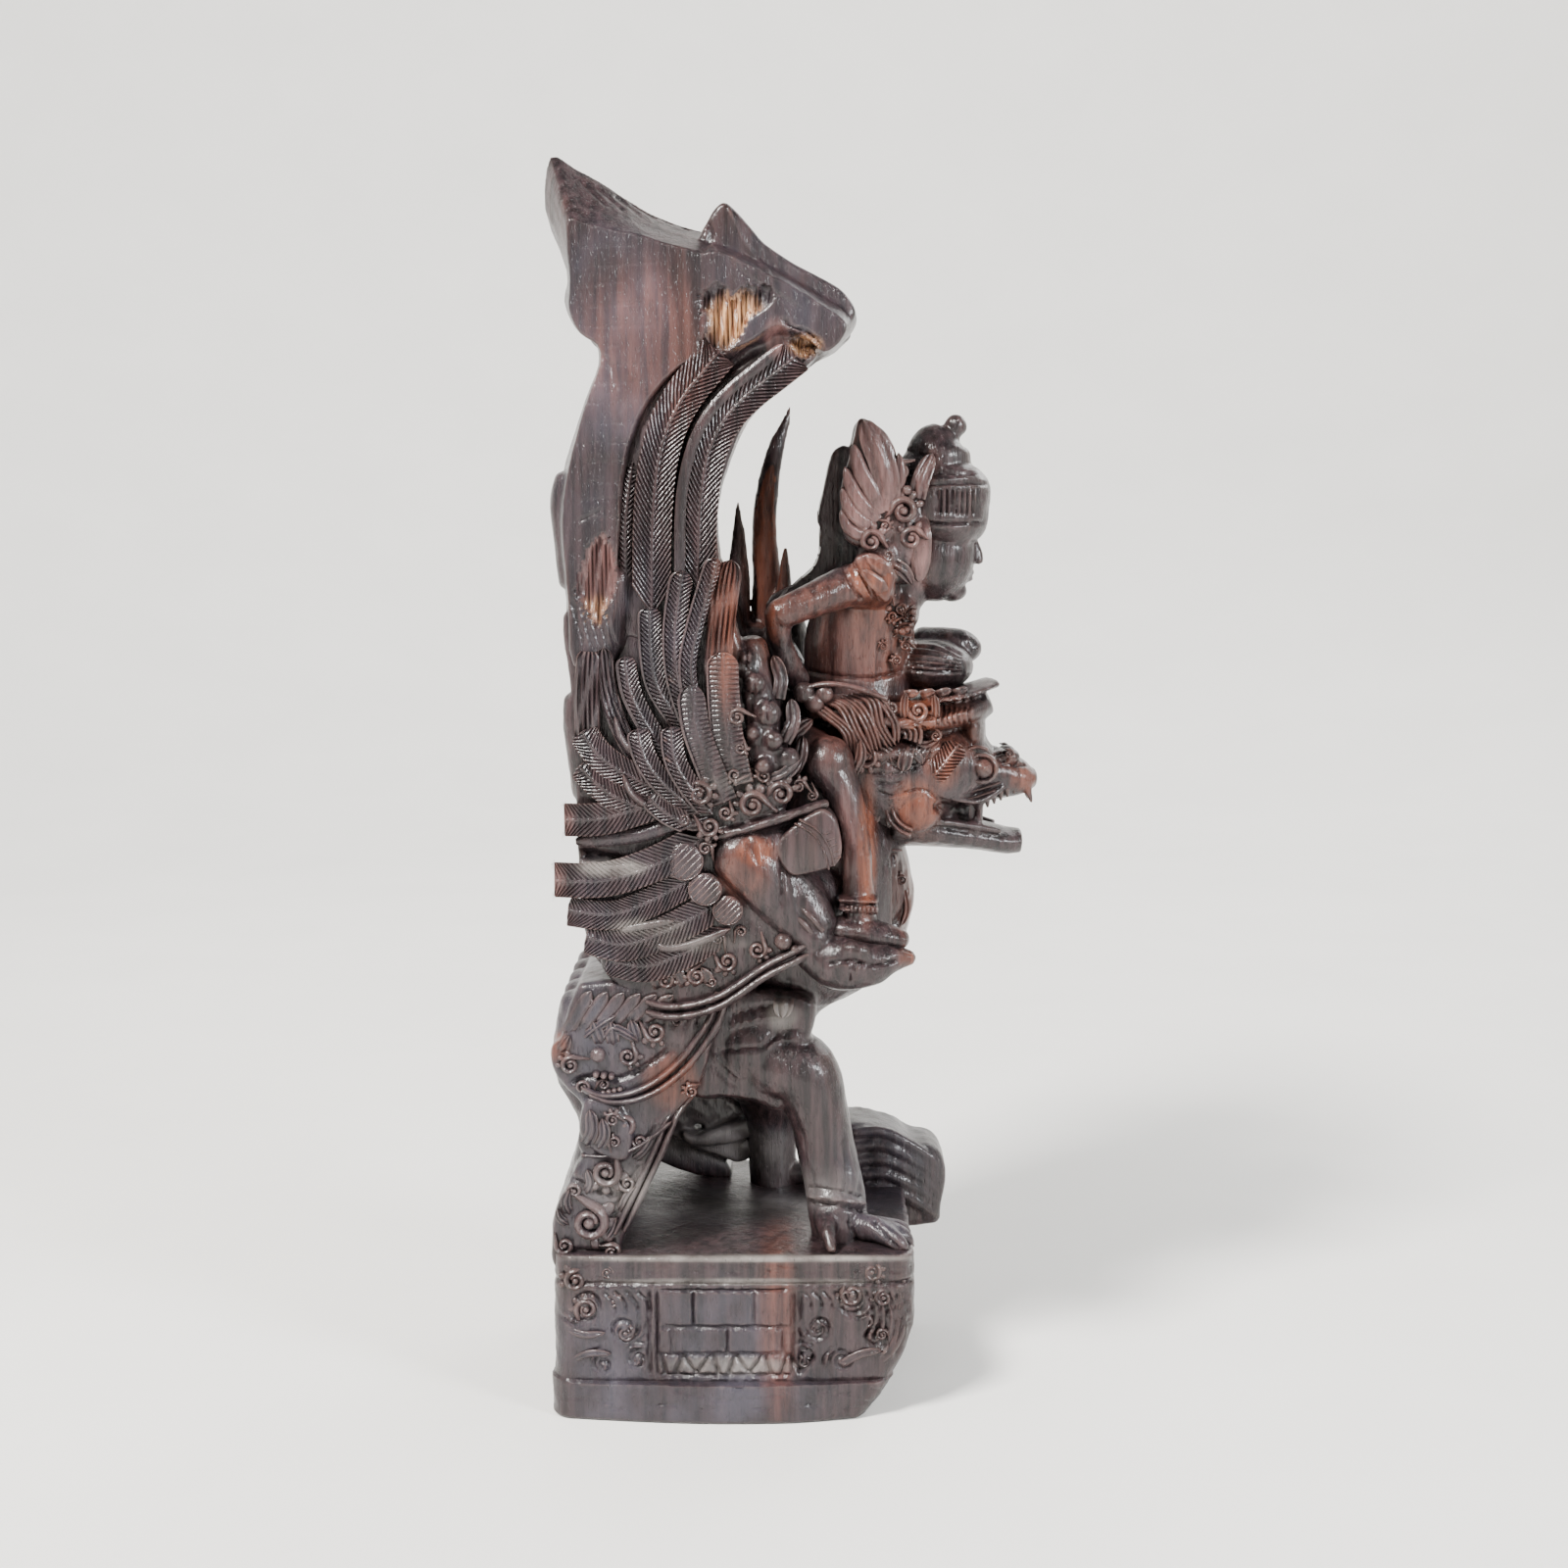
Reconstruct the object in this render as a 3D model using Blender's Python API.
"""A standing Garuda with a crowned rider on its shoulders, carved from one block of dark wood.

The carving looks along +X and +Z is up. The origin is the middle of the plinth's underside.
The plinth has sizes of its own. The figures are a free form: their points are shares of
FIGURE_HEIGHT, written in units of CARVING_UNIT, and they stand on the plinth's top.

The points of the figures are readings of a side view taken from EYE. A reading (x, z) belongs to
the middle plane of the block, and point() slides it along the sight line to its own depth y.
"""

import math

import bmesh
import bpy
from mathutils import Vector

# Plinth, in metres
PLINTH_LENGTH = 0.1184
PLINTH_WIDTH = 0.1030
PLINTH_CORNER = 0.0080
FOOT_BOW = 0.0042
BODY_BOW = 0.0014
FOOT_HEIGHT = 0.0130
BODY_HEIGHT = 0.0320
BAND_HEIGHT = 0.0094
PLINTH_EDGE = 0.0009
BODY_INSET = 0.0009
BAND_INSET = 0.0012
TOE_CUT_LENGTH = 0.0170
TOE_CUT_HEIGHT = 0.0340
TOE_CUT_BEND = 1.7

# Brick panel on each long side of the plinth, its rows from the bottom up
PANEL_LENGTH = 0.0436
PANEL_FORWARD = -0.0030
ZIGZAG_ROW = 0.0070
LOW_ROW = 0.0090
HIGH_ROW = 0.0125
BRICK_LENGTH = 0.0195
LOW_ROW_START = 0.0047
HIGH_ROW_START = 0.0116
ZIGZAG_TEETH = 3
JOINT_WIDTH = 0.0013
JOINT_DEPTH = 0.0013

# Figures, in metres
FIGURE_HEIGHT = 0.3456
# The figures are fused at this grain and thinned to this many triangles
GRAIN = 0.0011
SOFTENING_ROUNDS = 2
MOST_TRIANGLES = 8700

PLINTH_HEIGHT = FOOT_HEIGHT + BODY_HEIGHT + BAND_HEIGHT
UNITS_IN_FIGURE = 345.6
CARVING_UNIT = FIGURE_HEIGHT / UNITS_IN_FIGURE

# The eye of the side view, in carving units: how far off, how far forward, how high
EYE_DISTANCE = 700.0
EYE_X = 16.0
EYE_Z = 290.0
PLINTH_TOP_READING = 54.4


def nearness(y):
    """How large a reading becomes at depth y, as a share of its size on the middle plane."""
    return (EYE_DISTANCE + y) / EYE_DISTANCE


def point(x, z, y):
    """World point of the reading (x, z) at depth y, all in carving units."""
    share = nearness(y)
    along = EYE_X + (x - EYE_X) * share
    up = EYE_Z + (z - EYE_Z) * share - PLINTH_TOP_READING
    return Vector((along * CARVING_UNIT, y * CARVING_UNIT, PLINTH_HEIGHT + up * CARVING_UNIT))


def smooth_through(stations, steps, closed=False):
    """Points of a smooth curve through the stations, steps to each span, any number of values a station."""
    count = len(stations)
    spans = count if closed else count - 1
    found = []
    for span in range(spans):
        corners = []
        for ahead in (-1, 0, 1, 2):
            index = span + ahead
            index = index % count if closed else min(max(index, 0), count - 1)
            corners.append(stations[index])
        for step in range(steps):
            t = step / steps
            value = []
            for a, b, c, d in zip(*corners):
                bend = 2 * b + (c - a) * t + (2 * a - 5 * b + 4 * c - d) * t * t
                value.append(0.5 * (bend + (3 * b - a - 3 * c + d) * t * t * t))
            found.append(tuple(value))
    if not closed:
        found.append(tuple(stations[-1]))
    return found


def add_shell(mesh, rings):
    """Closes rings of equally many points into one shell, with a flat cap at each end."""
    made = []
    for ring in rings:
        made.append([mesh.verts.new(place) for place in ring])
    around = len(rings[0])
    faces = []
    for low, high in zip(made, made[1:]):
        for step in range(around):
            after = (step + 1) % around
            faces.append(mesh.faces.new((low[step], low[after], high[after], high[step])))
    faces.append(mesh.faces.new(list(reversed(made[0]))))
    faces.append(mesh.faces.new(made[-1]))
    bmesh.ops.recalc_face_normals(mesh, faces=faces)


def add_limb(mesh, stations, steps=3, around=14, blunt=0.75):
    """A round-ended limb through stations (x, z, y, across, deep).

    across is the half size along the depth, deep the half size in the side view, and blunt says how
    far the round ends reach beyond the first and last station, as a share of the half size there.
    """
    path = smooth_through(stations, steps)
    centres = [point(x, z, y) for x, z, y, across, deep in path]
    rings = []
    last = len(path) - 1
    for index, (x, z, y, across, deep) in enumerate(path):
        ahead = centres[min(index + 1, last)] - centres[max(index - 1, 0)]
        tangent = ahead.normalized()
        side = Vector((0.0, 1.0, 0.0)) - tangent * tangent.y
        if side.length < 0.2:
            side = Vector((1.0, 0.0, 0.0)) - tangent * tangent.x
        side.normalize()
        upward = side.cross(tangent)
        wide = max(across, 0.3) * CARVING_UNIT
        tall = max(deep, 0.3) * CARVING_UNIT * nearness(y)
        ends = [(0.0, 1.0)]
        reach = min(wide, tall) * blunt
        if index == 0:
            ends = [(-reach, 0.35), (-0.75 * reach, 0.7), (0.0, 1.0)]
        if index == last:
            ends = [(0.0, 1.0), (0.75 * reach, 0.7), (reach, 0.35)]
        for shift, size in ends:
            middle = centres[index] + tangent * shift
            ring = []
            for step in range(around):
                turn = 2.0 * math.pi * step / around
                ring.append(middle + side * wide * size * math.cos(turn) + upward * tall * size * math.sin(turn))
            rings.append(ring)
    add_shell(mesh, rings)


def add_ball(mesh, x, z, y, long, tall, wide, lean=0.0):
    """An ellipsoid at a reading, with half sizes along X, Z and Y, leaning by degrees about Y."""
    centre = point(x, z, y)
    share = nearness(y) * CARVING_UNIT
    turn = math.radians(lean)
    rings = []
    bands = 10
    around = 16
    for band in range(1, bands):
        rise = math.pi * band / bands
        ring = []
        for step in range(around):
            about = 2.0 * math.pi * step / around
            flat_x = long * share * math.sin(rise) * math.cos(about)
            flat_y = wide * CARVING_UNIT * math.sin(rise) * math.sin(about)
            flat_z = tall * share * math.cos(rise)
            leaned_x = flat_x * math.cos(turn) + flat_z * math.sin(turn)
            leaned_z = flat_z * math.cos(turn) - flat_x * math.sin(turn)
            ring.append(centre + Vector((leaned_x, flat_y, leaned_z)))
        rings.append(ring)
    add_shell(mesh, rings)


def inset_outline(outline, inset):
    """The outline moved inwards by inset, corner by corner."""
    count = len(outline)
    area = 0.0
    for index in range(count):
        ax, az = outline[index]
        bx, bz = outline[(index + 1) % count]
        area += ax * bz - bx * az
    facing = 1.0 if area > 0 else -1.0
    moved = []
    for index in range(count):
        ax, az = outline[index - 1]
        bx, bz = outline[(index + 1) % count]
        run = math.hypot(bx - ax, bz - az) or 1.0
        x, z = outline[index]
        moved.append((x - facing * inset * (bz - az) / run, z + facing * inset * (bx - ax) / run))
    return moved


def add_slab(mesh, outline, near, far, edge=1.5, steps=2, depth=None):
    """A slab with softened edges between two depths, whose outline is read at depth (its near face)."""
    smooth = smooth_through(outline, steps, closed=True)
    read_at = near if depth is None else depth
    rings = []
    for y, inset in ((near, edge), (near + edge, 0.0), (far - edge, 0.0), (far, edge)):
        ring = []
        for x, z in inset_outline(smooth, inset):
            place = point(x, z, read_at)
            place.y = y * CARVING_UNIT
            ring.append(place)
        rings.append(ring)
    add_shell(mesh, rings)


def add_loft(mesh, rings_at, steps=2):
    """A solid between outlines of equally many points, each with its own depth: (y, outline)."""
    rings = []
    for y, outline in rings_at:
        rings.append([point(x, z, y) for x, z in smooth_through(outline, steps, closed=True)])
    add_shell(mesh, rings)


def moved_to(stations, depths):
    """The stations' real x and z at other depths: readings change with the depth, so they are worked out again."""
    found = []
    for (x, z, y, *sizes), depth in zip(stations, depths):
        ratio = nearness(y) / nearness(depth)
        found.append((EYE_X + (x - EYE_X) * ratio, EYE_Z + (z - EYE_Z) * ratio, depth, *sizes))
    return found


def mirrored(stations):
    """The same real places on the far side."""
    return moved_to(stations, [-station[2] for station in stations])


def add_pair(mesh, stations, **options):
    """A limb and its mirror image on the far side."""
    add_limb(mesh, stations, **options)
    add_limb(mesh, mirrored(stations), **options)


def add_feather(mesh, path, width, y, thickness, tip=0.25):
    """A long blade through readings (x, z), its outer face at depth y, narrowing to its tip."""
    side = -1.0 if y < 0 else 1.0
    centre_line = smooth_through(path, 3)
    last = len(centre_line) - 1
    blade = []
    for index, (x, z) in enumerate(centre_line):
        narrowing = max(0.0, (index / last - 0.6) / 0.4)
        swell = 1.0 - (1.0 - tip) * narrowing ** 2
        blade.append((x, z, y - side * thickness, thickness, 0.5 * width * swell))
    add_limb(mesh, blade, steps=1, around=12, blunt=0.4)


def add_leaf(mesh, root, tip, y, width, thickness=2.0, curl=1.5):
    """A pointed leaf from root to tip, both readings, whose tip stands out from the surface."""
    side = -1.0 if y < 0 else 1.0
    stations = []
    for share, swell in ((0.0, 0.5), (0.35, 1.0), (0.7, 0.75), (1.0, 0.15)):
        x = root[0] + (tip[0] - root[0]) * share
        z = root[1] + (tip[1] - root[1]) * share
        stations.append((x, z, y + side * curl * share * share, thickness, 0.5 * width * swell))
    add_limb(mesh, stations, steps=2, around=10, blunt=0.4)


def add_roundel(mesh, x, z, y, radius, rise=1.6):
    """A curl of the foliage, as a low dome."""
    add_ball(mesh, x, z, y, radius, radius, rise)


# Depths of the block's carved layers, in carving units; near is negative
NEAR_FACE = -50.0
WING_OUTER = 44.0
WING_INNER = 20.0
# The far plume's front edge stands further back than the near one's
FAR_PLUME_SETBACK = 8.0


def wing_plume(mesh, side):
    """The great plume at the top of a wing: flat outside, its top sloping up towards the middle."""
    outer = [
        (-54.0, 385.0), (-39.0, 381.5), (-30.0, 379.6), (-19.6, 376.4), (-10.0, 374.6), (-3.6, 374.3),
        (9.4, 368.0), (18.0, 364.0), (27.0, 358.5), (34.0, 354.0), (36.5, 350.5), (34.0, 345.0),
        (27.6, 339.3), (17.4, 333.0), (7.0, 324.5), (1.0, 316.4), (-2.7, 304.6), (-6.0, 290.6),
        (-6.5, 262.0), (-30.0, 240.0), (-54.0, 240.0), (-56.0, 262.0), (-57.5, 288.0), (-55.0, 306.0),
        (-49.0, 326.0), (-44.5, 338.0), (-45.0, 344.5), (-51.0, 349.0), (-54.5, 358.0), (-53.6, 367.0),
    ]
    inner = [
        (-59.0, 404.0), (-44.3, 397.0), (-31.0, 388.5), (-22.0, 384.3), (-15.0, 382.0), (-9.8, 380.5),
        (2.0, 377.0), (14.5, 372.0), (27.0, 365.0), (37.0, 359.0), (39.8, 354.4), (38.5, 349.0),
        (28.5, 340.3), (17.8, 333.5), (8.0, 325.5), (1.5, 316.4), (-2.2, 304.6), (-5.5, 290.6),
        (-6.5, 262.0), (-30.0, 240.0), (-54.0, 240.0), (-57.0, 262.0), (-59.5, 288.0), (-56.0, 306.0),
        (-49.5, 326.0), (-45.0, 338.0), (-45.5, 345.0), (-52.0, 350.0), (-56.5, 361.0), (-61.5, 386.0),
    ]
    layers = (
        (NEAR_FACE, inset_outline(outer, 0.8)),
        (NEAR_FACE + 1.0, outer),
        (-26.0, inner),
        (-22.0, inset_outline(inner, 2.5)),
    )
    if side < 0:
        add_loft(mesh, layers, steps=1)
        return
    far_layers = []
    for y, outline in layers:
        moved = []
        for x, z, depth in mirrored([(x, z, y) for x, z in outline]):
            hidden = 262.0 < z < 352.0 and x > -20.0
            moved.append((x - FAR_PLUME_SETBACK if hidden else x, z))
        far_layers.append((-y, moved))
    add_loft(mesh, far_layers, steps=1)


def wings(mesh):
    """Both wings: plumes, long feathers, two tiers of shorter ones and the backward tips below."""
    wing_plume(mesh, -1)
    wing_plume(mesh, 1)

    # The folded lobe over the front of the near plume, and the bumps down its back edge
    add_slab(mesh, [
        (-11.0, 376.0), (-8.6, 385.0), (-4.2, 390.2), (2.0, 386.6), (10.0, 377.4), (19.6, 370.8),
        (31.0, 365.0), (36.5, 360.8), (39.5, 355.0), (34.0, 350.0), (18.0, 358.0), (2.0, 366.0),
    ], -40.0, -21.0, edge=2.5, depth=-30.0)
    add_pair(mesh, [(-55.5, 301.0, -34.0, 6.0, 4.0), (-57.0, 292.0, -34.0, 6.0, 4.0), (-54.5, 268.0, -34.0, 6.0, 4.0)])
    add_pair(mesh, [(-53.0, 226.0, -38.0, 6.0, 4.8), (-52.5, 214.0, -38.0, 6.0, 4.2), (-51.0, 198.0, -38.0, 6.0, 4.0)])

    # Core of each wing below the plume
    core = [
        (-54.0, 262.0), (-8.0, 262.0), (2.0, 246.0), (10.0, 226.0), (12.0, 206.0), (6.0, 180.0),
        (-2.0, 160.0), (-14.0, 140.0), (-31.0, 128.0), (-44.5, 136.0), (-52.0, 144.0), (-55.0, 160.0),
        (-54.0, 200.0), (-55.0, 230.0),
    ]
    add_slab(mesh, core, -WING_OUTER, -WING_INNER, edge=2.0, steps=1)
    far_core = [(x, z) for x, z, y in mirrored([(x, z, -WING_OUTER) for x, z in core])]
    add_slab(mesh, far_core, WING_INNER, WING_OUTER, edge=2.0, steps=1, depth=WING_OUTER)

    # Long feathers that curl forward under the plume's nose
    for side in (-1, 1):
        shafts = (
            ([(24.0, 338.0), (8.0, 331.0), (-3.0, 320.0), (-9.5, 306.0), (-12.0, 290.0), (-13.0, 262.0)], 9.5),
            ([(4.0, 343.0), (-12.0, 334.0), (-20.0, 321.0), (-25.0, 305.0), (-27.0, 288.0), (-27.0, 250.0)], 11.0),
        )
        for path, width in shafts:
            face = NEAR_FACE - 1.4
            if side > 0:
                path = [(x - FAR_PLUME_SETBACK, z) for x, z, y in mirrored([(x, z, face) for x, z in path])]
                face = -face
            add_feather(mesh, path, width, face, 2.6, tip=0.8)

    # Shorter feathers, tier over tier, pointing up
    tiers = (
        ((-27.0, 224.0), (-30.5, 258.0), 9.5, 50.8),
        ((-14.0, 215.0), (-17.0, 271.5), 10.5, 51.4),
        ((-3.0, 208.0), (-2.0, 277.0), 10.5, 50.6),
        ((-38.0, 205.0), (-42.0, 246.0), 10.0, 50.0),
        ((-22.0, 200.0), (-21.0, 231.0), 9.0, 53.0),
        ((-8.0, 198.0), (-7.5, 243.5), 10.0, 53.4),
        ((2.5, 198.0), (1.0, 240.0), 8.0, 52.0),
        ((-46.0, 204.0), (-49.5, 243.0), 6.0, 51.0),
    )
    for root, tip, width, face in tiers:
        bend = ((root[0] + tip[0]) / 2 - 1.0, (root[1] + tip[1]) / 2)
        for side in (-1, 1):
            path = [root, bend, tip]
            if side > 0:
                path = [(x, z) for x, z, y in mirrored([(x, z, -face) for x, z in path])]
            add_feather(mesh, path, width, side * face, 2.6)

    # Lower feathers that sweep backwards, with slots between their tips
    backward = (
        ((-16.0, 196.0), (-40.0, 190.0), (-59.0, 188.0), 11.0, 49.0),
        ((-14.0, 182.0), (-38.0, 182.5), (-57.0, 181.5), 8.0, 50.0),
        ((-12.0, 172.0), (-38.0, 169.0), (-62.0, 167.5), 10.0, 50.0),
        ((-10.0, 162.0), (-36.0, 160.0), (-58.0, 160.0), 7.5, 49.0),
        ((-8.0, 152.0), (-30.0, 146.0), (-51.0, 145.0), 9.5, 50.0),
        ((-6.0, 144.0), (-26.0, 136.0), (-44.0, 136.0), 9.0, 49.0),
    )
    for root, middle, tip, width, face in backward:
        for side in (-1, 1):
            path = [root, middle, tip]
            if side > 0:
                path = [(x, z) for x, z, y in mirrored([(x, z, -face) for x, z in path])]
            add_feather(mesh, path, width, side * face, 3.6, tip=0.35)

    # The far wing's front feather stands free, like a tusk, with two short ones beside it
    add_limb(mesh, [
        (8.0, 238.0, 42.0, 4.0, 6.0),
        (10.5, 262.0, 44.0, 3.4, 5.2),
        (9.5, 284.0, 45.0, 3.0, 4.2),
        (10.6, 298.0, 46.0, 2.6, 3.8),
        (13.2, 311.0, 46.5, 2.2, 2.8),
        (16.6, 320.0, 47.0, 1.4, 1.5),
        (18.0, 325.0, 47.0, 0.5, 0.4),
    ])
    add_limb(mesh, [(0.0, 244.0, 38.0, 4.0, 5.0), (1.0, 272.0, 40.0, 3.0, 3.6), (0.8, 294.0, 41.0, 1.0, 0.6)])
    add_limb(mesh, [(15.0, 240.0, 36.0, 3.0, 4.0), (16.0, 262.0, 38.0, 3.0, 3.0), (16.5, 279.0, 39.0, 1.0, 0.8)])


def garuda_body(mesh):
    """Torso, hips, back, legs and arms of the bird-headed bearer."""
    add_limb(mesh, [
        (6.0, 106.0, 0.0, 22.0, 17.0),
        (8.0, 120.0, 0.0, 24.0, 17.0),
        (14.0, 136.0, 0.0, 25.0, 20.0),
        (28.0, 154.0, 0.0, 28.0, 28.0),
        (32.0, 168.0, 0.0, 31.0, 27.0),
        (28.0, 188.0, 0.0, 34.0, 24.0),
        (26.0, 208.0, 0.0, 30.0, 20.0),
    ])
    # Back between the wings
    add_limb(mesh, [
        (-18.0, 118.0, 0.0, 30.0, 18.0),
        (-16.0, 150.0, 0.0, 32.0, 22.0),
        (-14.0, 185.0, 0.0, 34.0, 24.0),
        (-12.0, 214.0, 0.0, 32.0, 20.0),
        (-8.0, 236.0, 0.0, 28.0, 13.0),
    ])
    # Hips with the wrapped cloth
    add_ball(mesh, 6.0, 112.0, -16.0, 20.0, 17.0, 19.0)
    add_ball(mesh, 4.0, 112.0, 14.0, 20.0, 17.0, 19.0)
    add_slab(mesh, [
        (-16.0, 94.0), (-3.0, 91.5), (6.0, 90.0), (15.0, 87.0), (20.0, 98.0), (25.5, 114.0),
        (26.0, 126.0), (10.0, 130.0), (-6.0, 126.0),
    ], -32.0, 26.0, edge=4.0)

    # Near leg, stepping forward, and the far leg behind it
    add_limb(mesh, [
        (4.0, 108.0, -16.0, 15.0, 15.0),
        (14.0, 104.5, -22.0, 14.0, 14.0),
        (22.5, 100.5, -25.0, 12.5, 12.5),
        (27.5, 88.0, -26.0, 10.5, 10.5),
        (30.5, 74.0, -26.0, 10.0, 10.0),
        (33.5, 60.0, -27.0, 10.0, 10.2),
        (34.5, 50.0, -28.0, 10.0, 10.0),
        (35.0, 43.0, -28.0, 10.0, 9.0),
    ])
    add_limb(mesh, [
        (4.0, 106.0, 16.0, 14.0, 15.0),
        (10.0, 98.0, 23.0, 12.0, 12.0),
        (12.0, 84.0, 27.0, 9.5, 9.0),
        (12.0, 72.0, 28.0, 9.0, 8.2),
        (12.5, 60.0, 28.0, 9.5, 8.0),
    ])
    # Anklet, talons and spurs
    add_limb(mesh, [(24.5, 53.5, -27.0, 10.5, 2.0), (34.0, 52.0, -28.0, 11.5, 2.2), (44.5, 50.5, -28.0, 10.0, 2.0)])
    for spread, forward, drop in ((-43.0, 58.5, 41.0), (-36.0, 60.0, 43.5), (-28.0, 59.0, 46.0)):
        add_limb(mesh, [
            (36.0, 47.0, -30.0, 5.0, 5.0),
            (47.0, 46.0, 0.5 * (spread - 30.0), 4.0, 4.5),
            (forward - 3.0, drop, spread, 2.6, 3.0),
            (forward, drop - 4.0, spread, 1.2, 1.2),
        ])
    add_limb(mesh, [(30.0, 50.0, -34.0, 4.0, 4.0), (31.0, 45.0, -42.0, 3.0, 3.0), (32.5, 38.5, -48.0, 1.6, 1.8)])
    for spread, forward in ((20.0, 30.0), (28.0, 34.0), (37.0, 32.0)):
        add_limb(mesh, [
            (14.0, 65.0, 28.0, 5.0, 4.5),
            (22.0, 66.0, 0.5 * (spread + 28.0), 4.0, 4.0),
            (forward, 65.0, spread, 2.0, 2.6),
        ])

    # Arms: the shoulder is forward, the elbow back, and the hands hold the rider's feet
    add_pair(mesh, [
        (27.0, 183.0, -34.0, 9.0, 10.5),
        (18.0, 180.5, -42.0, 7.5, 9.5),
        (6.0, 177.5, -44.0, 8.0, 9.5),
        (-1.5, 176.0, -43.0, 8.0, 9.5),
    ])
    add_pair(mesh, [
        (0.0, 177.0, -43.5, 8.5, 10.0),
        (6.5, 171.0, -44.0, 8.5, 10.5),
        (13.0, 161.5, -43.5, 7.5, 8.5),
        (19.5, 153.0, -42.0, 7.0, 7.0),
        (27.0, 147.5, -42.0, 7.0, 6.5),
    ])
    add_pair(mesh, [
        (25.0, 143.0, -42.0, 6.0, 6.5),
        (34.0, 139.5, -43.0, 8.0, 9.3),
        (44.0, 139.0, -43.0, 7.5, 8.0),
        (52.0, 141.0, -42.0, 6.0, 5.5),
        (58.5, 141.0, -41.0, 3.0, 2.6),
    ])
    # Polished plate over the upper arm, with its jagged band
    add_slab(mesh, [
        (21.7, 189.3), (29.7, 193.4), (32.4, 190.7), (34.7, 186.0), (35.2, 177.0), (33.0, 172.6),
        (22.0, 170.0), (16.0, 172.0), (10.0, 180.0),
    ], NEAR_FACE, -36.0, edge=1.2)
    # Wrist knot that fills between forearm, wing and hem
    hem = [
        (25.0, 152.0), (30.0, 147.0), (18.6, 142.2), (2.0, 132.0), (-14.0, 124.5), (-31.0, 126.0),
        (-46.0, 138.0), (-40.0, 160.0), (-10.0, 168.0), (10.0, 164.0),
    ]
    add_slab(mesh, hem, -47.0, -16.0, edge=1.5)
    far_hem = [(x, z) for x, z, y in mirrored([(x, z, -47.0) for x, z in hem])]
    add_slab(mesh, far_hem, 16.0, 47.0, edge=1.5, depth=47.0)
    for shift in (0.0, 3.6):
        ribbon = [
            (31.0, 148.0 - shift, -45.0), (18.6, 142.4 - shift, -47.5), (9.8, 137.8 - shift, -48.5),
            (0.9, 131.8 - shift, -49.0), (-6.2, 127.4 - shift, -49.0), (-15.0, 124.6 - shift, -49.0),
            (-24.0, 123.8 - shift, -48.5), (-31.0, 125.6 - shift, -47.5),
        ]
        add_pair(mesh, [(x, z, y, 2.6, 1.7) for x, z, y in ribbon], around=8)


def garuda_head(mesh):
    """Head with its leafy crown, open beak, fangs and eyes."""
    add_limb(mesh, [
        (30.0, 206.0, 0.0, 25.0, 22.0),
        (46.0, 206.0, 0.0, 27.0, 24.0),
        (60.0, 206.5, 0.0, 26.0, 23.0),
        (71.0, 207.0, 0.0, 23.0, 18.0),
        (79.0, 207.5, 0.0, 18.0, 13.0),
    ], blunt=0.3)
    # Crown plate that the rider sits on, with its raised lip in front
    add_limb(mesh, [
        (25.0, 227.0, 0.0, 25.0, 6.5),
        (38.0, 226.5, 0.0, 30.0, 6.8),
        (52.0, 223.5, 0.0, 30.5, 6.0),
        (66.0, 224.0, 0.0, 27.0, 6.0),
        (77.0, 226.5, 0.0, 21.0, 6.5),
        (83.0, 229.0, 0.0, 15.0, 5.6),
    ], blunt=0.25)
    # Snout and upper beak
    add_limb(mesh, [
        (74.0, 205.0, 0.0, 17.0, 13.0),
        (83.0, 204.5, 0.0, 13.5, 10.0),
        (90.0, 203.5, 0.0, 10.5, 8.2),
        (96.5, 202.6, 0.0, 8.0, 5.4),
        (99.0, 202.6, 0.0, 6.0, 3.4),
    ], blunt=0.5)
    add_ball(mesh, 91.5, 209.5, -6.0, 3.2, 2.8, 3.6)
    add_ball(mesh, 91.5, 209.5, 6.0, 3.2, 2.8, 3.6)
    # Lower jaw
    add_limb(mesh, [
        (52.0, 187.5, 0.0, 18.0, 7.5),
        (66.0, 186.0, 0.0, 17.0, 6.8),
        (80.0, 183.5, 0.0, 13.0, 5.2),
        (90.0, 181.5, 0.0, 9.5, 4.6),
        (95.0, 181.3, 0.0, 7.0, 4.2),
    ], blunt=0.2)
    # Fangs and tongue
    for side in (-1, 1):
        add_limb(mesh, [(97.5, 199.0, side * 5.0, 1.6, 1.5), (98.8, 194.6, side * 5.0, 0.6, 0.6)], around=8)
        add_limb(mesh, [(81.0, 195.0, side * 11.5, 1.8, 1.8), (80.0, 185.0, side * 11.5, 1.6, 1.6)], around=8)
        add_ball(mesh, 82.0, 205.8, side * 13.0, 4.2, 3.6, 3.4)
        add_roundel(mesh, 75.5, 206.5, side * 19.0, 3.6)
        add_ball(mesh, 60.5, 193.0, side * 19.0, 8.0, 8.5, 5.0)
        # Brow leaf and the leaves and curls of the crown band
        add_leaf(mesh, (68.0, 204.0), (76.5, 214.5), side * 20.0, 7.0)
        for count in range(6):
            x = 30.0 + 9.0 * count
            low = 207.0 + 1.2 * count
            depth = side * (27.5 - 0.14 * abs(x - 46.0) ** 1.3)
            add_leaf(mesh, (x, low), (x + 3.0, low + 15.0), depth, 8.5, curl=2.5)
        add_roundel(mesh, 60.0, 225.0, side * 29.5, 4.0)
        add_roundel(mesh, 36.0, 222.0, side * 30.0, 3.6)
        add_roundel(mesh, 46.0, 222.0, side * 31.0, 3.6)
        for count in range(4):
            x = 67.0 + 3.4 * count
            add_limb(mesh, [(x, 218.0, side * (24.5 - count), 1.6, 1.2), (x, 229.0, side * (26.0 - 2 * count), 1.6, 1.2)],
                     around=8)
    # Chest ornament behind the rider's shins
    add_ball(mesh, 51.0, 163.0, 0.0, 9.0, 14.0, 16.0)


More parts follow.
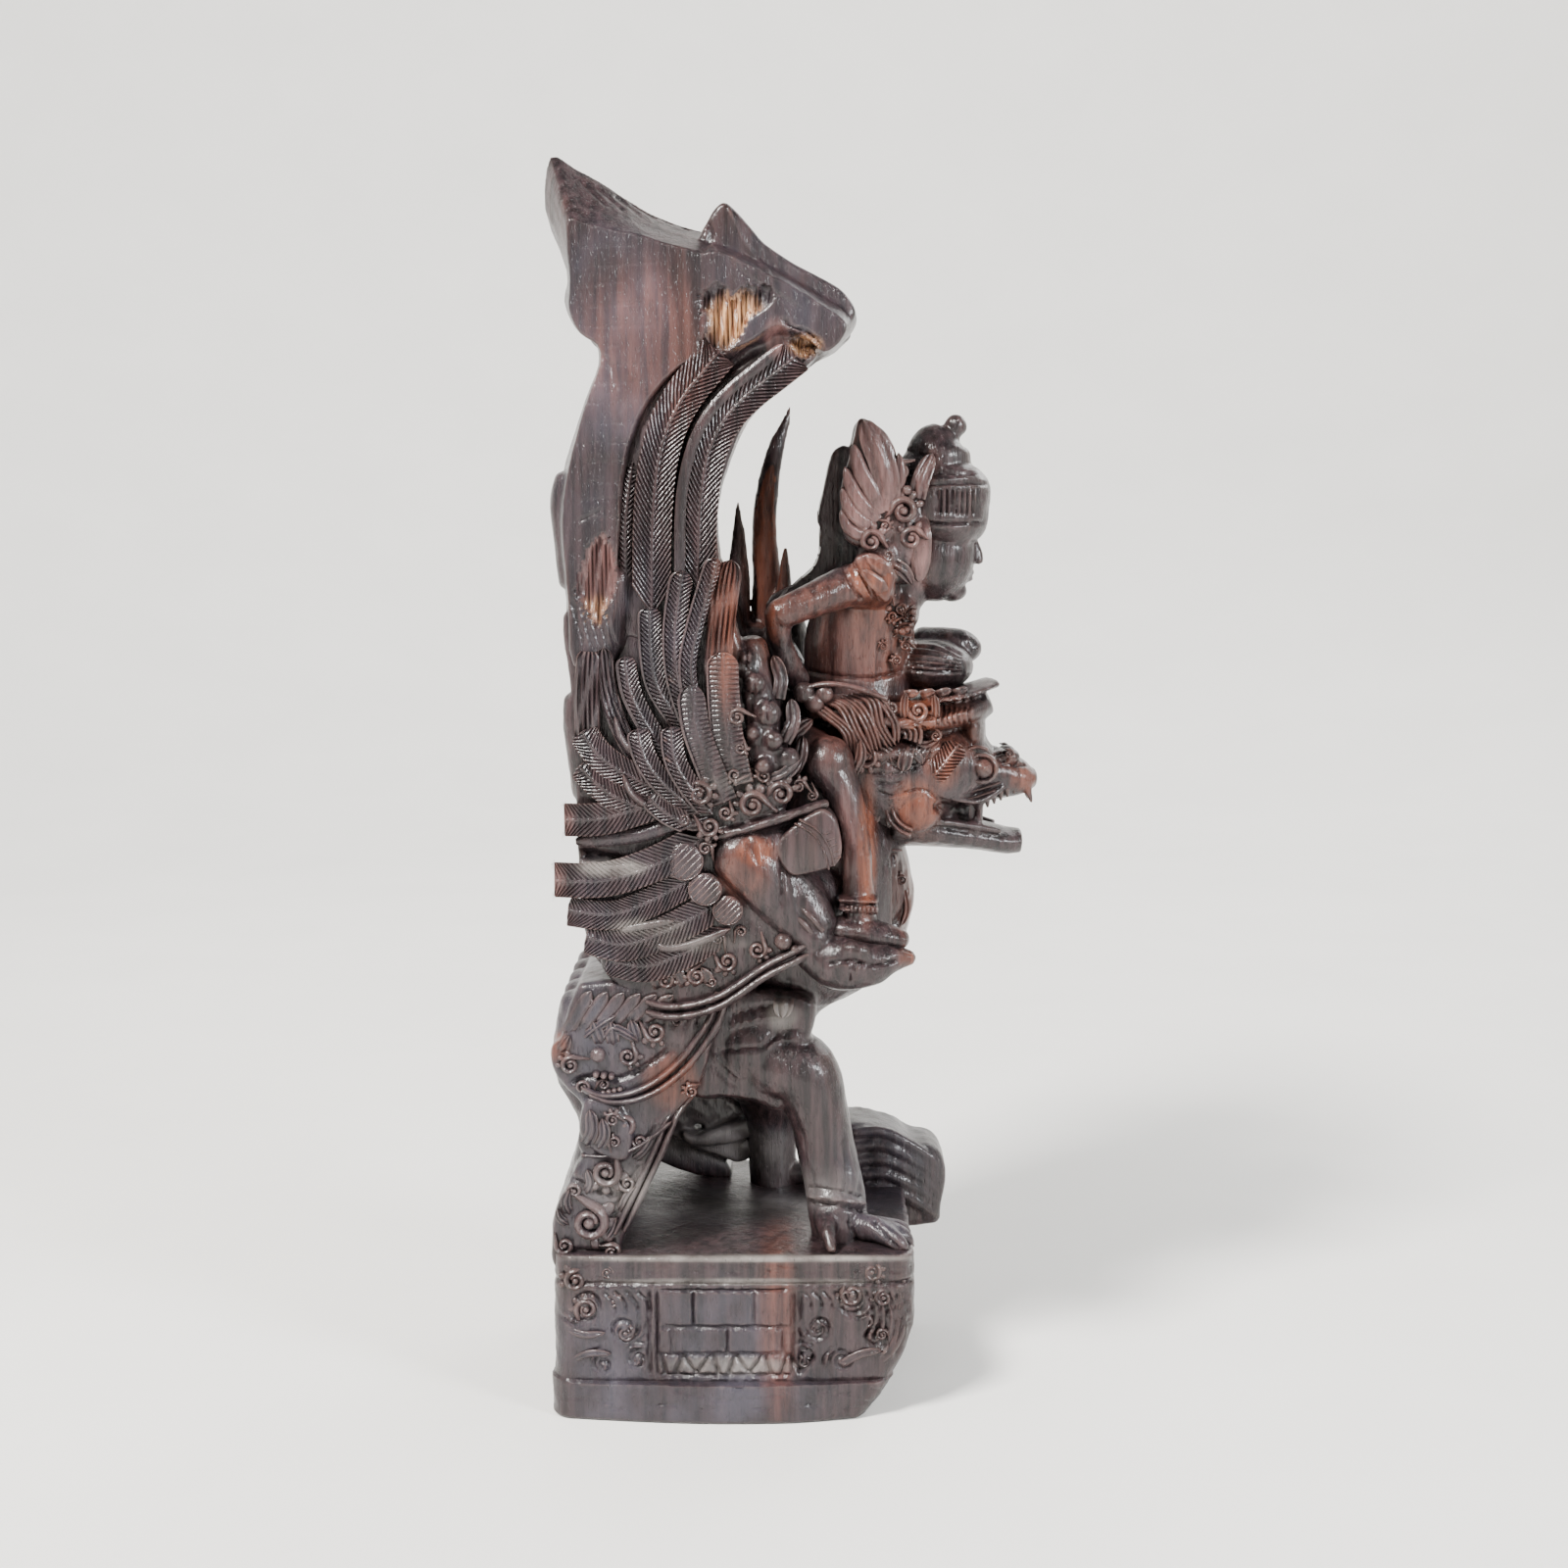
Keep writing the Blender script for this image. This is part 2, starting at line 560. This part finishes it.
def rider(mesh):
    """The crowned rider: torso, head, ear leaves, arms on the hips and legs hanging down."""
    add_limb(mesh, [
        (40.5, 230.0, 0.0, 18.0, 18.0),
        (40.5, 240.0, 0.0, 16.5, 18.0),
        (41.5, 251.0, 0.0, 17.5, 18.0),
        (43.5, 261.0, 0.0, 18.5, 15.5),
        (47.5, 268.0, 0.0, 13.0, 10.0),
    ], blunt=0.5)
    add_limb(mesh, [(54.0, 262.0, 0.0, 8.5, 7.5), (62.0, 274.0, 0.0, 8.5, 8.5)])
    add_ball(mesh, 54.5, 258.5, 0.0, 6.5, 8.5, 11.5)
    # Face: an oval with a plain nose and chin, turned a little away
    add_ball(mesh, 65.5, 277.0, 1.0, 13.8, 15.8, 12.5)
    add_limb(mesh, [(78.2, 280.0, 3.5, 1.6, 1.2), (80.2, 275.5, 4.0, 2.0, 1.6)], around=8)
    add_ball(mesh, 71.5, 264.5, 2.5, 5.0, 3.6, 5.5)
    # Crown in tiers
    for low, high, middle, radius in ((285.0, 301.5, 66.5, 17.0), (301.0, 309.0, 66.0, 11.6), (308.5, 315.5, 68.0, 7.2)):
        add_limb(mesh, [
            (middle, low, 0.0, radius * 0.93, radius * 0.97),
            (middle, 0.5 * (low + high), 0.0, radius, radius),
            (middle, high - 1.5, 0.0, radius * 0.9, radius * 0.9),
        ], around=18, blunt=0.12)
    add_ball(mesh, 71.0, 318.6, 0.0, 3.0, 4.0, 3.0)
    for count in range(9):
        turn = math.radians(-100.0 + 25.0 * count)
        x = 66.5 + 16.6 * math.cos(turn)
        y = 16.4 * math.sin(turn)
        add_limb(mesh, [(x, 288.5, y, 1.6, 1.7), (x + 0.6, 299.5, y, 1.6, 1.7)], around=8)
    # Hair plate behind the head
    add_slab(mesh, [
        (31.5, 309.0), (35.0, 312.0), (50.0, 305.0), (54.0, 290.0), (50.0, 272.0), (34.0, 262.0),
        (14.0, 260.5), (19.0, 266.5), (26.4, 273.0), (28.0, 282.0), (28.0, 292.0), (29.0, 300.0),
    ], 2.0, 17.0, edge=1.5)
    # Ear leaves, fluted, one on each side
    leaf = [
        (40.8, 321.6), (46.5, 319.0), (52.0, 313.0), (54.0, 304.0), (53.0, 294.0), (52.0, 284.0),
        (44.0, 279.5), (36.4, 281.5), (34.8, 290.0), (35.0, 301.0), (38.4, 311.0), (39.2, 316.0),
    ]
    add_slab(mesh, leaf, -21.0, -6.0, edge=1.6)
    far_leaf = [(x - 5.0, z - 3.0) for x, z, y in mirrored([(x, z, -21.0) for x, z in leaf])]
    add_slab(mesh, far_leaf, 6.0, 21.0, edge=1.6, depth=21.0)
    for count in range(4):
        tip_x = 37.0 + 4.2 * count
        tip_z = 304.0 + 5.0 * count - 0.8 * count * count
        add_limb(mesh, [
            (46.0 + count, 287.0, -20.5, 2.0, 1.8),
            (0.5 * (46.0 + tip_x) - 1.0, 297.0, -21.5, 2.0, 1.8),
            (tip_x, tip_z, -21.5, 1.4, 1.2),
        ], around=8)
    for x, z, radius in ((55.0, 290.8, 4.6), (58.2, 282.6, 4.0), (52.5, 303.5, 3.2), (44.6, 281.6, 3.0)):
        add_roundel(mesh, x, z, -18.0, radius)
        (far_x, far_z, far_y), = mirrored([(x, z, -18.0)])
        add_roundel(mesh, far_x, far_z, far_y, radius)

    # Arms, hands on the hips
    add_pair(mesh, [
        (46.0, 266.0, -15.0, 8.0, 8.0),
        (38.0, 266.5, -21.0, 7.0, 7.2),
        (25.0, 261.5, -27.0, 5.6, 5.8),
        (14.5, 257.0, -30.0, 5.2, 5.2),
    ])
    add_pair(mesh, [(14.0, 257.0, -30.0, 4.6, 4.6), (15.0, 247.0, -26.0, 4.0, 4.0), (20.5, 235.0, -20.0, 4.0, 4.2)])
    for side in (-1, 1):
        add_leaf(mesh, (50.0, 263.0), (39.0, 276.0), side * 25.0, 9.0, thickness=2.2, curl=1.0)
        add_leaf(mesh, (52.5, 270.5), (43.0, 262.0), side * 24.5, 7.0, thickness=2.2, curl=0.5)

    # Lap with pleated cloth, and the knee behind it
    add_ball(mesh, 64.0, 240.0, 6.0, 15.0, 9.0, 19.0)
    add_limb(mesh, [(62.0, 247.0, 14.0, 8.0, 6.0), (74.0, 247.0, 13.0, 7.0, 5.4), (78.0, 245.0, 12.0, 5.0, 4.4)])
    for count in range(4):
        drop = 2.4 * count
        add_limb(mesh, [
            (58.0, 248.5 - drop, -11.0 - count, 3.0, 1.3),
            (67.0, 247.5 - drop, -10.0 - count, 3.0, 1.4),
            (77.0 - count, 243.5 - 0.7 * drop, -5.0 - count, 2.6, 1.3),
        ], around=8)

    # Legs: the knee balls stand out, and the shins run down into the bearer's hands
    add_pair(mesh, [
        (20.0, 216.0, -20.0, 8.0, 7.5),
        (27.0, 210.5, -27.0, 8.0, 7.5),
        (31.5, 206.0, -31.0, 8.0, 7.6),
        (35.8, 197.0, -32.5, 7.0, 6.3),
        (39.2, 186.0, -33.5, 6.2, 5.2),
        (40.5, 175.0, -34.5, 6.0, 5.1),
        (41.0, 163.0, -35.5, 6.0, 5.4),
        (42.0, 152.0, -37.0, 6.5, 5.6),
    ])
    add_pair(mesh, [(34.0, 151.0, -38.0, 6.0, 4.5), (46.0, 149.5, -39.5, 6.4, 4.6), (56.0, 147.5, -39.5, 5.0, 3.2)])
    add_pair(mesh, [(34.5, 161.5, -36.0, 7.2, 1.6), (47.0, 161.0, -36.0, 7.2, 1.6)], around=8)


def foliage(mesh):
    """Curls and leaves of the shoulder band, the knot column and the tail."""
    curls = (
        (-12.0, 193.5, 3.4), (-3.0, 188.0, 3.6), (5.3, 191.0, 4.3), (2.0, 199.0, 3.4), (11.5, 196.0, 3.4),
        (-8.0, 201.0, 3.0), (10.0, 204.5, 3.0), (7.0, 214.0, 3.6), (9.0, 224.0, 3.4), (6.5, 234.0, 3.4),
        (4.5, 244.0, 3.0), (14.5, 212.0, 3.0), (16.5, 222.0, 3.0), (6.8, 143.2, 3.5), (-2.5, 140.0, 3.5),
        (-14.5, 134.0, 3.5), (-24.8, 133.0, 3.5),
    )
    for x, z, radius in curls:
        add_roundel(mesh, x, z, -47.5, radius, rise=2.8)
    column = [
        (10.0, 200.0, -38.0, 9.0, 9.0), (9.0, 214.0, -38.0, 9.0, 8.0), (8.0, 228.0, -36.0, 10.0, 7.0),
        (5.0, 246.0, -34.0, 9.0, 5.5),
    ]
    add_pair(mesh, column)
    add_ball(mesh, 17.0, 246.0, 30.0, 7.5, 15.0, 8.0)
    add_ball(mesh, 14.0, 229.0, 16.0, 11.0, 10.0, 14.0)
    add_pair(mesh, [(-18.0, 190.0, -42.0, 7.0, 8.0), (-4.0, 193.0, -42.0, 7.0, 10.0), (12.0, 197.0, -42.0, 7.0, 8.0)])
    add_pair(mesh, [(-11.0, 181.0, -47.0, 2.6, 1.8), (4.0, 184.6, -48.5, 2.6, 1.8), (16.0, 188.6, -48.0, 2.6, 1.8),
                    (30.0, 193.6, -45.0, 2.4, 1.8)], around=8)


def tail(mesh):
    """The tail and hip cloth that hang down the back to the plinth."""
    sheet = [
        (-52.0, 132.0), (-36.0, 132.0), (-20.0, 130.0), (-5.0, 127.0), (-8.0, 112.0), (-13.0, 96.0),
        (-21.5, 84.0), (-30.0, 64.0), (-38.0, 46.0), (-44.0, 30.0), (-62.0, 30.0), (-64.6, 42.0),
        (-63.0, 52.0), (-57.0, 64.0), (-54.0, 73.0), (-54.5, 82.0), (-53.0, 90.0), (-60.5, 96.0),
        (-63.0, 105.0), (-60.0, 116.0), (-57.0, 125.0),
    ]
    add_slab(mesh, sheet, -46.0, 46.0, edge=3.0)
    # Two ridges of the hip ribbon
    for shift in (0.0, 3.4):
        add_limb(mesh, [
            (-4.0 - shift, 127.0, -44.0, 3.0, 1.9),
            (-7.0 - shift, 117.5, -46.0, 3.0, 1.9),
            (-12.0 - shift, 110.0 - 0.2 * shift, -47.0, 3.0, 1.9),
            (-18.5 - 0.6 * shift, 101.5 + 0.6 * shift, -47.5, 3.0, 1.9),
            (-27.0, 94.8 + shift, -48.0, 3.0, 1.9),
            (-36.0, 91.3 + shift, -48.0, 3.0, 1.9),
            (-45.0, 91.0 + shift, -48.0, 3.0, 1.8),
            (-51.5, 93.5 + shift, -47.5, 2.4, 1.6),
        ], around=8)
    curls = (
        (-56.0, 104.0, 4.2), (-47.4, 107.3, 3.6), (-36.8, 106.8, 4.0), (-27.4, 114.0, 3.6), (-17.0, 117.0, 3.2),
        (-45.0, 80.0, 5.0), (-36.0, 80.0, 4.0), (-44.5, 66.5, 5.0), (-50.5, 51.5, 6.0), (-58.5, 44.0, 4.2),
        (-30.0, 86.0, 3.4),
    )
    for x, z, radius in curls:
        add_roundel(mesh, x, z, -46.0, radius, rise=2.4)
    # Diagonal tail feathers above the curls
    for count in range(5):
        x = -53.0 + 5.4 * count
        add_limb(mesh, [(x, 118.0, -45.0, 3.0, 2.0), (x + 8.0, 134.0, -45.0, 3.0, 2.0)], around=8)
    # Plain tail feathers on the hidden back
    plume = [
        (-55.0, 126.0, -32.0, 7.0, 5.0), (-57.5, 104.0, -32.0, 7.5, 5.0), (-50.0, 84.0, -32.0, 6.0, 4.0),
        (-54.0, 60.0, -32.0, 7.0, 5.0), (-58.0, 45.0, -32.0, 6.0, 5.0),
    ]
    for count in range(5):
        add_limb(mesh, moved_to(plume, [-32.0 + 16.0 * count] * len(plume)))
    # The sash's double edge runs down to the plinth
    for shift in (0.0, 3.6):
        add_limb(mesh, [
            (-13.0 - shift, 95.0, -40.0, 3.0, 1.5),
            (-20.5 - shift, 85.0, -42.0, 3.0, 1.5),
            (-29.0 - shift, 65.0, -44.0, 3.0, 1.5),
            (-37.0 - shift, 46.0, -45.0, 3.0, 1.5),
        ], around=8)
    # Scroll on the far side, seen between the legs and the tail
    add_ball(mesh, -8.0, 76.0, 36.0, 11.0, 13.0, 9.0)
    add_ball(mesh, -20.0, 76.0, 38.0, 7.0, 7.0, 8.0)
    add_limb(mesh, [(-23.0, 84.0, 34.0, 6.0, 7.0), (-6.0, 88.0, 34.0, 6.0, 5.5), (2.0, 82.0, 34.0, 6.0, 4.5)])
    add_limb(mesh, [(-16.0, 74.0, 30.0, 6.0, 4.0), (4.0, 72.0, 30.0, 6.0, 4.0)])


def far_ledge(mesh):
    """Rock under the far foot, which hangs over the plinth's front."""
    add_slab(mesh, [
        (34.0, 80.0), (42.0, 83.0), (54.0, 80.0), (64.0, 76.0), (70.0, 73.0), (71.6, 63.0), (70.0, 50.0),
        (62.0, 46.5), (50.0, 46.0), (38.0, 56.0),
    ], 22.0, 47.0, edge=3.0, depth=40.0)


def make_material(name, colour, roughness):
    material = bpy.data.materials.new(name)
    material.use_nodes = True
    shader = material.node_tree.nodes["Principled BSDF"]
    shader.inputs["Base Color"].default_value = (*colour, 1.0)
    shader.inputs["Roughness"].default_value = roughness
    return material


def make_object(name, mesh, cutter=False):
    """A scene object from a bmesh; a cutter or other helper isn't part of the model."""
    data = bpy.data.meshes.new(name)
    mesh.to_mesh(data)
    mesh.free()
    made = bpy.data.objects.new(name, data)
    bpy.context.scene.collection.objects.link(made)
    if cutter:
        made.hide_render = True
        made.display_type = "WIRE"
    return made


def plinth_ring(inset, height, bow):
    """The plinth's plan at a height: rounded corners, the two long sides bowed outwards."""
    half_x = 0.5 * PLINTH_LENGTH - inset
    half_y = 0.5 * PLINTH_WIDTH - inset
    corner = PLINTH_CORNER
    turns = 5
    ring = []
    for sign_x, sign_y, start in ((1, 1, 0.0), (-1, 1, 90.0), (-1, -1, 180.0), (1, -1, 270.0)):
        for step in range(turns):
            turn = math.radians(start + 90.0 * step / (turns - 1))
            ring.append((sign_x * (half_x - corner) + corner * math.cos(turn),
                         sign_y * (half_y - corner) + corner * math.sin(turn)))
    full = []
    bow_steps = 5
    for index, (x, y) in enumerate(ring):
        full.append((x, y))
        after = ring[(index + 1) % len(ring)]
        if abs(after[0] - x) > corner * 2:
            for step in range(1, bow_steps):
                share = step / bow_steps
                swell = bow * math.sin(math.pi * share)
                full.append((x + (after[0] - x) * share, y + math.copysign(swell, y)))
    return [Vector((x, y, height)) for x, y in full]


def make_plinth():
    """The plinth: foot, recessed body with a brick panel on each long side, and a top band."""
    mesh = bmesh.new()
    body_low = FOOT_HEIGHT + PLINTH_EDGE
    body_high = FOOT_HEIGHT + BODY_HEIGHT - PLINTH_EDGE
    rings = (
        (PLINTH_EDGE, 0.0, FOOT_BOW),
        (0.0, PLINTH_EDGE, FOOT_BOW),
        (0.0, FOOT_HEIGHT - PLINTH_EDGE, FOOT_BOW),
        (BODY_INSET, body_low, BODY_BOW),
        (BODY_INSET, body_high, BODY_BOW),
        (BAND_INSET, FOOT_HEIGHT + BODY_HEIGHT, BODY_BOW),
        (BAND_INSET, PLINTH_HEIGHT - PLINTH_EDGE, BODY_BOW),
        (BAND_INSET + PLINTH_EDGE, PLINTH_HEIGHT, BODY_BOW),
    )
    add_shell(mesh, [plinth_ring(inset, height, bow) for inset, height, bow in rings])
    return make_object("statue", mesh)


def make_toe_cutter():
    """Solid outside the curved undercut of the plinth's front."""
    mesh = bmesh.new()
    front = 0.5 * PLINTH_LENGTH
    beyond = 0.5 * PLINTH_LENGTH
    side = PLINTH_WIDTH
    steps = 6
    section = [(front + beyond, -beyond), (front + beyond, TOE_CUT_HEIGHT)]
    for step in range(steps + 1):
        drop = step / steps
        section.append((front - TOE_CUT_LENGTH * drop ** TOE_CUT_BEND, TOE_CUT_HEIGHT * (1.0 - drop)))
    section.append((front - TOE_CUT_LENGTH, -beyond))
    add_shell(mesh, [[Vector((x, y, z)) for x, z in section] for y in (-side, side)])
    return make_object("toe_cutter", mesh, cutter=True)


def add_groove(mesh, start, end, side):
    """A joint between two points (x, z) of the panel on one long side, JOINT_DEPTH deep."""
    face = 0.5 * PLINTH_WIDTH - BODY_INSET + BODY_BOW
    run = Vector((end[0] - start[0], end[1] - start[1]))
    across = Vector((-run.y, run.x)).normalized() * (0.5 * JOINT_WIDTH)
    corners = (
        (start[0] + across.x, start[1] + across.y),
        (start[0] - across.x, start[1] - across.y),
        (end[0] - across.x, end[1] - across.y),
        (end[0] + across.x, end[1] + across.y),
    )
    depths = (side * (face - JOINT_DEPTH), side * (face + FOOT_BOW))
    add_shell(mesh, [[Vector((x, y, z)) for x, z in corners] for y in depths])


def make_joint_cutter():
    """Grooves of the brick panel on each long side: level joints, upright joints and a zigzag row."""
    mesh = bmesh.new()
    rows = (ZIGZAG_ROW, LOW_ROW, HIGH_ROW)
    starts = (None, LOW_ROW_START, HIGH_ROW_START)
    half = 0.5 * JOINT_WIDTH
    left = PANEL_FORWARD - 0.5 * PANEL_LENGTH
    right = PANEL_FORWARD + 0.5 * PANEL_LENGTH
    low = FOOT_HEIGHT + 0.5 * (BODY_HEIGHT - sum(rows))
    for side in (-1, 1):
        height = low
        add_groove(mesh, (left - half, low), (right + half, low), side)
        for edge in (left, right):
            add_groove(mesh, (edge, low - half), (edge, low + sum(rows) + half), side)
        for row, start in zip(rows, starts):
            top = height + row
            add_groove(mesh, (left - half, top), (right + half, top), side)
            if start is None:
                tooth = PANEL_LENGTH / ZIGZAG_TEETH
                for count in range(ZIGZAG_TEETH):
                    foot = left + count * tooth
                    add_groove(mesh, (foot, height), (foot + 0.5 * tooth, top), side)
                    add_groove(mesh, (foot + 0.5 * tooth, top), (foot + tooth, height), side)
            else:
                x = left + start
                while x < right - JOINT_WIDTH:
                    add_groove(mesh, (x, height - half), (x, top + half), side)
                    x += BRICK_LENGTH
            height = top
    return make_object("joint_cutter", mesh, cutter=True)


def make_figures():
    """Garuda, wings, tail and rider as one remeshed solid that sinks a little into the plinth."""
    mesh = bmesh.new()
    garuda_body(mesh)
    garuda_head(mesh)
    wings(mesh)
    rider(mesh)
    foliage(mesh)
    tail(mesh)
    far_ledge(mesh)
    figures = make_object("figures", mesh, cutter=True)
    fuse = figures.modifiers.new("fuse", "REMESH")
    fuse.mode = "VOXEL"
    fuse.voxel_size = GRAIN
    soften = figures.modifiers.new("soften", "SMOOTH")
    soften.factor = 0.5
    soften.iterations = SOFTENING_ROUNDS
    bpy.context.view_layer.update()
    fused = figures.evaluated_get(bpy.context.evaluated_depsgraph_get())
    faces = sum(len(face.vertices) - 2 for face in fused.data.polygons)
    thin = figures.modifiers.new("thin", "DECIMATE")
    thin.ratio = min(1.0, MOST_TRIANGLES / faces)
    return figures


def combine(target, other, operation="DIFFERENCE", crosses_itself=False):
    """Adds an exact Boolean of another object to the target's modifiers."""
    modifier = target.modifiers.new(other.name, "BOOLEAN")
    modifier.operation = operation
    modifier.solver = "EXACT"
    modifier.use_self = crosses_itself
    modifier.object = other


def main():
    for leftover in list(bpy.data.objects):
        bpy.data.objects.remove(leftover)
    statue = make_plinth()
    statue.data.materials.append(make_material("dark_wood", (0.062, 0.030, 0.024), 0.42))
    combine(statue, make_toe_cutter())
    combine(statue, make_joint_cutter(), crosses_itself=True)
    combine(statue, make_figures(), "UNION")


main()
